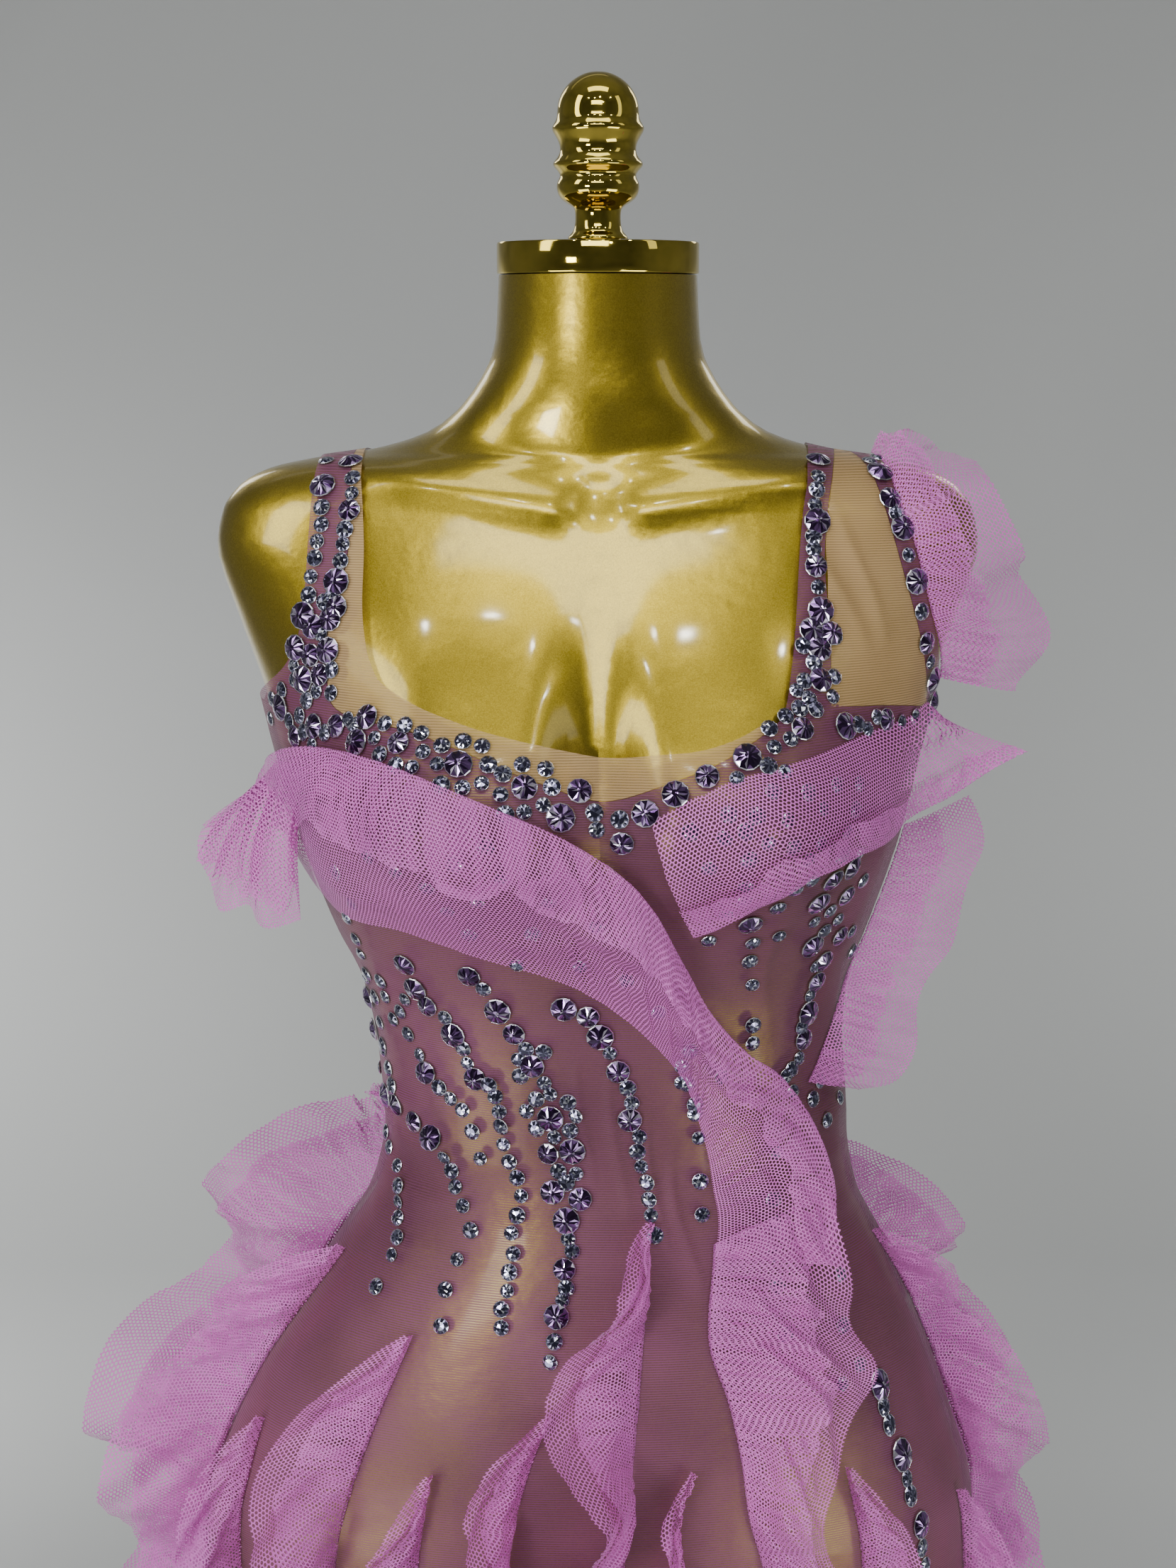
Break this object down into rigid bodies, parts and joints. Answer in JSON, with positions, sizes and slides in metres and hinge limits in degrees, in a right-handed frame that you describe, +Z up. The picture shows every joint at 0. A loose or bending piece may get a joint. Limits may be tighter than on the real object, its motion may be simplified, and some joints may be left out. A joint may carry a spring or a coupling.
{
  "type": "mini dress on a dress form",
  "caption": "Close-fitting lilac stretch-mesh mini dress with tulle ruffles and set crystals, worn by a limbless gold dress form on a round stand.",
  "frame": {"origin": "middle of the stand's flat underside", "axes": "+Z up, the front of the dress faces -Y, +X to the viewer's right"},
  "size_m": [0.5498, 0.37, 1.581],
  "materials": {
    "gold_paint": "metallic gloss",
    "gold_plate": "polished",
    "lilac_mesh": "sheer stretch mesh",
    "nude_mesh": "sheer stretch mesh",
    "lilac_tulle": "matte net",
    "crystal": "faceted"
  },
  "bodies": {
    "root": {"base": "gold_plate", "bust_ruffle": "lilac_tulle", "dress_back": "lilac_mesh", "dress_front": "lilac_mesh", "finial": "gold_plate", "form_torso": "gold_paint", "neck_band": "nude_mesh", "neck_cap": "gold_plate", "pole": "gold_plate", "sash_ruffle": "lilac_tulle", "sash_tail": "lilac_tulle", "shoulder_insert": "nude_mesh", "shoulder_ruffle": "lilac_tulle", "side_ruffle": "lilac_tulle", "skirt_back_a": "lilac_tulle", "skirt_back_b": "lilac_tulle", "skirt_back_c": "lilac_tulle", "skirt_back_d": "lilac_tulle", "skirt_back_e": "lilac_tulle", "skirt_back_f": "lilac_tulle", "skirt_front_a": "lilac_tulle", "skirt_front_b": "lilac_tulle", "skirt_front_c": "lilac_tulle", "skirt_front_d": "lilac_tulle", "skirt_front_e": "lilac_tulle", "skirt_front_f": "lilac_tulle", "skirt_front_g": "lilac_tulle", "skirt_front_h": "lilac_tulle", "skirt_front_i": "lilac_tulle", "skirt_side_a": "lilac_tulle", "skirt_side_b": "lilac_tulle", "skirt_side_c": "lilac_tulle", "skirt_side_d": "lilac_tulle"}
  },
  "joints": []
}
